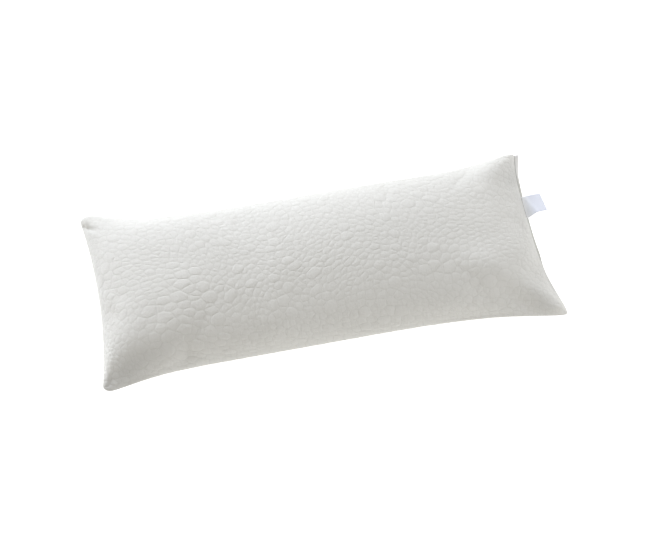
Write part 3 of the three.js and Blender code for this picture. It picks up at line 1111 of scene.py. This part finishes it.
def stitch_line() -> bpy.types.NodeTree:
    """A row of stitches along x: a mask from 0 to 1 at a place in metres."""

    def fill(n: Nodes, given: dict) -> dict:
        parts = n.parts(given["Place"])
        x = n.math("MULTIPLY", parts[0], n.math("DIVIDE", PER_METRE, given["Pitch"]))
        y = n.math("SUBTRACT", n.math("MULTIPLY", parts[1], PER_METRE), given["At"])
        beside = n.math("DIVIDE", n.math("ABSOLUTE", y), given["Thread"])
        along = n.math("MULTIPLY", n.math("ABSOLUTE", n.math(
            "SUBTRACT", n.math("FRACT", x), 0.5)), 2.6)
        outside = n.math("ADD", n.math("POWER", beside, 2.0), n.math("POWER", along, 4.0))
        return {"Mask": n.math("SUBTRACT", 1.0, outside, clamp=True)}

    return group("StitchLine", {"Place": None, "At": 1.0, "Pitch": 3.0, "Thread": 0.4},
                 ["Mask"], fill)


class SharedGroups:
    """The node groups that several finishes use, made once."""

    def __init__(self) -> None:
        self.stitches = stitch_line()
        self.knit = knit_loops()
        self.tone = cloth_tone()
        self.weave = weave()


def new_material(name: str, constants: dict) -> tuple[bpy.types.Material, Nodes, bpy.types.Node]:
    """A material with one Principled shader, whose constant sockets are set directly."""
    material = bpy.data.materials.new(name)
    material.use_nodes = True
    nodes = Nodes(material.node_tree)
    shader = next(n for n in material.node_tree.nodes if n.type == "BSDF_PRINCIPLED")
    for key, value in constants.items():
        shader.inputs[key].default_value = value
    return material, nodes, shader


@dataclass(frozen=True)
class KnitFinish:
    """The cream knit of the cover.

    Attributes:
        light: Its lightest colour.
        shade: Its darker colour: painted shade in the grooves, at the seam and between the
            loops, and the dark end of the knit's uneven tone.
        groove: How much painted shade a groove has. It is groove_width millimetres wide, and
            groove_edge is how fast it fades.
        seam: How much of it the seam has: the seam line's own darkness and painted shade in
        the crevice along it. It is seam_width millimetres wide.
        half_panel: Half the panel's length and width in metres.
        pebble: How much of it the tone of a pebble adds, and so on for the cloud of uneven
        tone and for the painted shade in the gaps between loops, whose usual height is usual_loop.
        streak: How much of it the streaks add on the top and on the front side.
        front: The v in metres where the front side begins and is full.
        crease_scale: The scale of the fine creases, in turns for each metre.
        heights: How far loops, streaks, creases and grooves are raised, as shares of depth.
    """

    light: tuple = (0.80, 0.803, 0.76, 1.0)
    shade: tuple = (0.66, 0.658, 0.612, 1.0)
    groove: float = 0.32
    groove_width: float = 1.5
    groove_edge: float = 1.5
    seam: float = 0.8
    seam_width: float = 1.8
    half_panel: tuple[float, float] = (0.45, 0.18)
    pebble: float = 0.05
    cloud: float = 0.25
    loop: float = -0.18
    usual_loop: float = 0.62
    streak: tuple[float, float] = (0.5, 1.1)
    front: tuple[float, float] = (-0.09, -0.15)
    crease_scale: float = 230.0
    heights: tuple[float, float, float, float] = (0.12, 0.3, 0.65, -0.12)
    depth: float = 0.001
    sheen: float = 0.12

    def make(self, groups: SharedGroups) -> bpy.types.Material:
        """Builds the material."""
        material, n, shader = new_material("cover_knit", {
            "Roughness": 0.92, "Specular IOR Level": 0.22, "Sheen Weight": self.sheen,
            "Sheen Roughness": 0.6})
        place = n.place()
        loops = n.use(groups.knit, Place=place)["Height"]
        cloth = n.use(groups.tone, Place=place)
        groove = n.fade(n.value_of("inside"), self.groove_width)
        x, y, _ = n.parts(place)
        streaks = n.add("ShaderNodeMapRange", {
            "Value": y, "From Min": self.front[0], "From Max": self.front[1],
            "To Min": self.streak[0], "To Max": self.streak[1]},
            interpolation_type="SMOOTHSTEP").outputs[0]
        # Painted shade in the grooves and between the loops, mixed with the knit's uneven tone.
        mask = n.math("MULTIPLY", n.math("POWER", groove, self.groove_edge), self.groove)
        # The dark line along the seam: partly its own colour, partly painted shade.
        mask = n.math("ADD", mask, n.math("MULTIPLY", self._beside_seam(n, x, y), self.seam))
        mask = n.weigh(mask, n.value_of("tone"), 0.5, self.pebble)
        mask = n.weigh(mask, cloth["Cloud"], 0.5, self.cloud)
        mask = n.weigh(mask, cloth["Streak"], 0.5, streaks)
        mask = n.weigh(mask, loops, self.usual_loop, self.loop, clamp=True)
        # The colour is scaled by the painted light and shade of the patches.
        colour = n.add("ShaderNodeVectorMath", {0: n.mix(mask, self.light, self.shade),
                                                "Scale": n.value_of("handled")}, operation="SCALE")
        n.tree.links.new(colour.outputs[0], shader.inputs["Base Color"])
        crease = n.add("ShaderNodeTexNoise", {"Vector": place, "Scale": self.crease_scale,
                                              "Detail": 1.5, "Roughness": 0.5})
        height = 0.0
        for value, share in zip((loops, cloth["Streak"], crease.outputs["Fac"], groove),
                                self.heights):
            height = n.math("ADD", height, n.math("MULTIPLY", value, share))
        n.bump(shader, height, 1.0, self.depth)
        return material

    def _beside_seam(self, n: Nodes, x: Socket, y: Socket) -> Socket:
        """How near the seam a place is: 1 on it, and 0 from the seam's width inside it."""
        to_end = n.math("SUBTRACT", self.half_panel[0], n.math("ABSOLUTE", x))
        to_side = n.math("SUBTRACT", self.half_panel[1], n.math("ABSOLUTE", y))
        return n.fade(n.math("MINIMUM", to_end, to_side), self.seam_width * MM)


@dataclass(frozen=True)
class WovenFinish:
    """Woven cloth, for the closing strip and the label.

    Attributes:
        light: Its lightest colour.
        shade: Its darker colour: painted shade between the threads and in the gaps of the tack,
        and the dark end of its uneven tone.
        pitch: The distance between threads in millimetres.
        depth: The depth of the weave in metres.
        stitches_at: The distance of each row of stitches from the inner edge, in millimetres.
        thread: The colour of the stitches.
        tack_from: Where along the cloth its end is sewn closed.
        inner: How far the inner edge's painted light and shade reaches, with its colour and its
        glow: a painted shadow on the tape where it meets the cover, painted light and a painted
        glow at the label's base.
        hung_until: How far along the cloth it hangs in the shade, with painted shade there.
        hung_fade: The length over which that shade ends.
    """

    name: str
    light: tuple
    shade: tuple
    pitch: float
    roughness: float
    sheen: float
    depth: float
    stitches_at: tuple[float, ...] = ()
    thread: tuple = (0.86, 0.86, 0.84, 1.0)
    tack_from: float = math.inf
    inner: float = 0.0
    painted_edge_colour: tuple = (0.33, 0.34, 0.31, 1.0)
    painted_edge_glow: float = 0.0
    hung_until: float = 0.0
    hung_shade_colour: tuple = (0.65, 0.655, 0.60, 1.0)
    hung_fade: float = 25.0

    def make(self, groups: SharedGroups) -> bpy.types.Material:
        """Builds the material."""
        material, n, shader = new_material(self.name, {
            "Roughness": self.roughness, "Specular IOR Level": 0.35,
            "Sheen Weight": self.sheen, "Sheen Roughness": 0.5})
        place = n.place()
        along, across, _ = n.parts(place)
        height = n.use(groups.weave, Place=place, Pitch=self.pitch)["Height"]
        cloud = n.use(groups.tone, Place=place)["Cloud"]
        # Painted shade between the threads, with uneven tone from the cloud.
        mask = n.math("ADD", n.math("MULTIPLY", n.math("SUBTRACT", 1.0, height), 0.35),
                      n.math("MULTIPLY", cloud, 0.35), clamp=True)
        colour = n.mix(mask, self.light, self.shade)
        for row in self.stitches_at:
            sewn = n.use(groups.stitches, Place=place, At=row)["Mask"]
            colour = n.mix(sewn, colour, self.thread)
            height = n.math("ADD", height, n.math("MULTIPLY", sewn, 2.0))
        if math.isfinite(self.tack_from):
            past = n.math("GREATER_THAN", along, self.tack_from * MM)
            colour = n.mix(past, colour, self._tack(n, place))
        # Painted shade on the part of the tape that hangs beside the cover.
        if self.hung_until:
            flat = n.add("ShaderNodeMapRange", {
                "Value": along, "From Min": self.hung_until * MM,
                "From Max": (self.hung_until + self.hung_fade) * MM})
            colour = n.mix(flat.outputs[0], self.hung_shade_colour, colour)
        # Painted light and shade along the inner edge, with a painted glow.
        if self.inner:
            inner = n.fade(across, self.inner * MM)
            colour = n.mix(inner, colour, self.painted_edge_colour)
            shader.inputs["Emission Color"].default_value = self.painted_edge_colour
            n.tree.links.new(n.math("MULTIPLY", inner, self.painted_edge_glow),
                             shader.inputs["Emission Strength"])
        n.tree.links.new(colour, shader.inputs["Base Color"])
        n.bump(shader, height, 0.5, self.depth)
        return material

    def _tack(self, n: Nodes, place: Socket) -> Socket:
        """The colour of the dense stitches that close an end, with gaps between them."""
        teeth = n.add("ShaderNodeTexNoise", {"Vector": place, "Scale": 420.0, "Detail": 0.0})
        gaps = n.math("MULTIPLY", n.math("GREATER_THAN", teeth.outputs["Fac"], 0.56), 0.6)
        return n.mix(gaps, self.thread, self.shade)


@dataclass(frozen=True)
class FloorFinish:
    """The pale floor."""

    colour: tuple = (0.93, 0.93, 0.93, 1.0)
    glow: float = 0.6

    def make(self) -> bpy.types.Material:
        """Builds the material."""
        material, _, _ = new_material("studio_floor", {
            "Base Color": self.colour, "Roughness": 0.9, "Specular IOR Level": 0.0,
            "Emission Color": (1.0, 1.0, 1.0, 1.0), "Emission Strength": self.glow})
        return material


# The strip and the label

@dataclass
class ClosureStrip:
    """The narrow tape over the closing seam.

    It turns up flat at the back corner, where it is widest and is tucked under the cover. Its
    front end narrows and hangs close to the cover's side. The section is in shares of the
    width and of the thickness.
    """

    form: CoverForm
    section: tuple[tuple[float, float], ...] = (
        (0.0, 0.3), (0.06, 0.0), (0.94, 0.0), (1.0, 0.3),
        (1.0, 0.7), (0.94, 1.0), (0.06, 1.0), (0.0, 0.7))
    width: float = 9.2
    hanging_width: float = 7.0
    end_width: float = 5.0
    thickness: float = 1.1
    clearance: float = 0.1
    start: float = -0.46
    stop: float = 0.965
    lean: float = 0.9
    end_lean: float = 0.25
    end_from: float = -0.24
    drop: tuple[float, float] = (1.4, 2.4)
    tuck: float = 0.9
    tack: float = 8.0
    turn_from: float = 0.62
    steps: int = 110

    @property
    def length(self) -> float:
        """The tape's length on the panel."""
        return (self.stop - self.start) * self.form.half_width

    def build(self, name: str, material: bpy.types.Material) -> bpy.types.Object:
        """Makes the tape as a closed ribbon with rounded edges."""
        share = np.linspace(self.start, self.stop, self.steps)
        v = share * self.form.half_width
        u = np.full_like(v, self.form.half_length)
        seam = self.form.points(u, v, Face.TOP)
        run = np.gradient(seam, axis=0)
        run[:, 2] = 0.0
        run /= np.linalg.norm(run, axis=1, keepdims=True)
        outward = np.stack([run[:, 1], -run[:, 0], np.zeros(len(run))], axis=1)
        down = np.array([0.0, 0.0, -1.0])
        up = smoothstep(share, self.turn_from, self.stop)[:, None]
        end = 1.0 - smoothstep(share, self.start, self.end_from)[:, None]
        lean = self.lean + (self.end_lean - self.lean) * end
        turn = lean + (math.pi / 2 - lean) * up
        wide = down * np.cos(turn) + outward * np.sin(turn)
        thick = outward * np.cos(turn) - down * np.sin(turn)
        hang, flat = self.drop
        inner = (seam + outward * (self.clearance - self.tuck * up)
                 + down * (hang + (flat - hang) * up))
        width = (self.hanging_width + (self.width - self.hanging_width) * up
                 + (self.end_width - self.hanging_width) * end)
        mesh = Mesh()
        columns = np.array([
            mesh.add(inner + wide * (w * width) + thick * (t * self.thickness))
            for w, t in self.section]).T
        for k in range(len(columns) - 1):
            mesh.band(columns[k], columns[k + 1])
        mesh.faces.append(tuple(columns[0][::-1]))
        mesh.faces.append(tuple(columns[-1]))
        made = mesh.build(name, material)
        along = np.tile(np.linspace(0.0, self.length, self.steps), len(self.section))
        across = np.repeat([w * self.width + t for w, t in self.section], self.steps)
        panel_map(made.data, np.stack([along, across], axis=1))
        return made


@dataclass
class CareLabel:
    """The blank label: level along its back edge, humped along its front one."""

    form: CoverForm
    width: float = 46.0
    reach: float = 37.0
    thickness: float = 0.5
    centre: float = 50.5
    skew: float = 1.0
    off_seam: float = 2.0
    clearance: float = 0.35
    hump: float = 21.5
    hump_back: float = 0.16
    hump_front: float = 0.56
    curl: float = 1.6
    flat_reach: float = 46.0
    seam_steps: int = 400
    steps: int = 26

    def _layer(self, height: float) -> Array:
        """One side of the sheet as rows from its back edge to its front one."""
        v = np.linspace(-self.form.half_width, self.form.half_width, self.seam_steps)
        seam = self.form.points(np.full_like(v, self.form.half_length), v, Face.TOP)
        front, out = np.meshgrid(np.linspace(0, 1, self.steps), np.linspace(0, 1, self.steps),
                                 indexing="ij")
        y = self.centre + self.width * (0.5 - front)
        root_x = np.interp(y, seam[:, 1], seam[:, 0])
        root_z = np.interp(y, seam[:, 1], seam[:, 2])
        hump_at = self.hump_back + (self.hump_front - self.hump_back) * front
        climb = smoothstep(out, 0.0, hump_at)
        curl = self.curl * np.sin(math.pi * out) * (1 - front)
        z = root_z + self.clearance + self.hump * front * climb + curl + height
        x = root_x + self.off_seam + self.reach * out
        return np.stack([x, y + self.skew * out, z], axis=-1).reshape(-1, 3)

    def build(self, name: str, material: bpy.types.Material) -> bpy.types.Object:
        """Makes the label as a closed thin sheet."""
        mesh = Mesh()
        size = self.steps
        under = mesh.add(self._layer(0.0)).reshape(size, size)
        over = mesh.add(self._layer(self.thickness)).reshape(size, size)
        for i in range(size - 1):
            for j in range(size - 1):
                square = [(i, j), (i + 1, j), (i + 1, j + 1), (i, j + 1)]
                mesh.faces.append(tuple(over[k] for k in square))
                mesh.faces.append(tuple(under[k] for k in square[::-1]))
        rim = ([(0, j) for j in range(size - 1)] + [(i, size - 1) for i in range(size - 1)]
               + [(size - 1, j) for j in range(size - 1, 0, -1)]
               + [(i, 0) for i in range(size - 1, 0, -1)])
        for k, here in enumerate(rim):
            after = rim[(k + 1) % len(rim)]
            mesh.faces.append((over[here], over[after], under[after], under[here]))
        made = mesh.build(name, material)
        front, out = np.meshgrid(np.linspace(0, self.width, size),
                                 np.linspace(0, self.flat_reach, size), indexing="ij")
        flat = np.stack([front.ravel(), out.ravel()], axis=1)
        panel_map(made.data, np.vstack([flat, flat]))
        return made


# Studio

@dataclass(frozen=True)
class SoftBox:
    """A rectangular studio light, aimed at the pillow."""

    name: str
    azimuth: float
    elevation: float
    power: float
    distance: float = 3.0
    size: float = 1.2
    colour: tuple[float, float, float] = (0.955, 0.99, 1.095)

    def place(self, target: Vector) -> None:
        """Hangs the light."""
        data = bpy.data.lights.new(self.name, "AREA")
        data.shape = "SQUARE"
        data.size = self.size
        data.energy = self.power
        data.color = self.colour
        aimed_object(self.name, data, target, self.azimuth, self.elevation, self.distance)


@dataclass(frozen=True)
class PhotoCamera:
    """The camera of the photograph, which looks from the front and a little from the left."""

    azimuth: float = 190.675
    elevation: float = 68.0
    distance: float = 2.4762
    target: tuple[float, float, float] = (0.00632, 0.01137, 0.0588)
    lens: float = 72.0
    sensor: float = 36.0
    shift: tuple[float, float] = (0.0063, -0.0221)
    clip: tuple[float, float] = (0.05, 60.0)

    def place(self) -> None:
        """Makes the camera and sets it as the scene's."""
        data = bpy.data.cameras.new("photo_camera")
        data.lens = self.lens
        data.sensor_width = self.sensor
        data.shift_x, data.shift_y = self.shift
        data.clip_start, data.clip_end = self.clip
        bpy.context.scene.camera = aimed_object(
            "photo_camera", data, Vector(self.target), self.azimuth, self.elevation,
            self.distance)


@dataclass
class Studio:
    """Floor, lights, background and camera."""

    lights: tuple[SoftBox, ...] = (
        SoftBox("key_left", azimuth=-45.0, elevation=20.0, power=43.0),
        SoftBox("key_back", azimuth=-15.0, elevation=20.0, power=14.0),
        SoftBox("fill_right", azimuth=75.0, elevation=45.0, power=21.0))
    target: tuple[float, float, float] = (0.0, 0.0, 0.06)
    ambient: float = 0.48
    ambient_colour: tuple[float, float, float, float] = (1.04, 1.0, 0.96, 1.0)
    floor: FloorFinish = FloorFinish()
    floor_radii: tuple[float, float] = (800.0, 9000.0)
    floor_level: float = -0.3
    floor_corners: int = 64

    def build(self) -> None:
        """Makes the studio round the pillow."""
        bpy.context.scene.view_settings.view_transform = "Standard"
        world = bpy.data.worlds.new("studio_world")
        world.use_nodes = True
        background = world.node_tree.nodes["Background"]
        background.inputs[0].default_value = self.ambient_colour
        background.inputs[1].default_value = self.ambient
        bpy.context.scene.world = world
        mesh = Mesh()
        around = np.linspace(0, 2 * math.pi, self.floor_corners, endpoint=False)
        level = np.full(self.floor_corners, self.floor_level)
        near, far = (
            mesh.add(np.stack([radius * np.cos(around), radius * np.sin(around), level], axis=1))
            for radius in self.floor_radii)
        mesh.faces.append(tuple(near))
        mesh.band(far, near)
        floor = mesh.build("studio_floor", self.floor.make())
        for light in self.lights:
            light.place(Vector(self.target))
        PhotoCamera().place()


# The pillow

@dataclass
class Pillow:
    """All the pieces of the pillow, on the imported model's one body."""

    form: CoverForm = field(default_factory=CoverForm)

    def build(self) -> None:
        """Makes every piece, fixes it to the body and hides the solid that it stands for."""
        groups = SharedGroups()
        settled = ClothSettling(self.form).run()
        cover = PebbleCover(self.form, PebbleField(self.form), settled).build(
            "knit_cover", KnitFinish().make(groups))
        log.info("cover: %d triangles", sum(len(p.vertices) - 2 for p in cover.data.polygons))
        self._stand_for(cover, "pillow_body", "cover_knit")
        tape = ClosureStrip(self.form)
        # The tape's inner edge has a painted shadow where it meets the cover.
        strip = tape.build("closure_tape", WovenFinish(
            "closure_tape", light=(0.96, 0.97, 0.93, 1.0), shade=(0.80, 0.81, 0.77, 1.0),
            pitch=0.6, roughness=0.85, sheen=0.1, depth=0.0003, stitches_at=(2.6, 6.2),
            tack_from=tape.length - tape.tack, inner=4.0, hung_until=180.0).make(groups))
        self._stand_for(strip, "closure_strip", "closure_tape")
        # The label's base has painted light and a faint painted glow.
        label = CareLabel(self.form).build("satin_label", WovenFinish(
            "label_satin", light=(0.83, 0.87, 0.95, 1.0), shade=(0.71, 0.75, 0.83, 1.0),
            pitch=0.35, roughness=0.45, sheen=0.2, depth=0.00015, inner=18.0,
            painted_edge_colour=(0.92, 0.94, 0.96, 1.0), painted_edge_glow=0.10).make(groups))
        self._stand_for(label, "care_label", "label_satin")

    @staticmethod
    def _stand_for(piece: bpy.types.Object, node: str, slot: str) -> None:
        """Fixes a piece to the body and hides the plain solid that it stands for."""
        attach(piece, ROOT_BODY)
        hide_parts(node)


def main() -> None:
    """Builds the pillow and its studio."""
    Pillow().build()
    Studio().build()


if __name__ == "__main__":
    main()
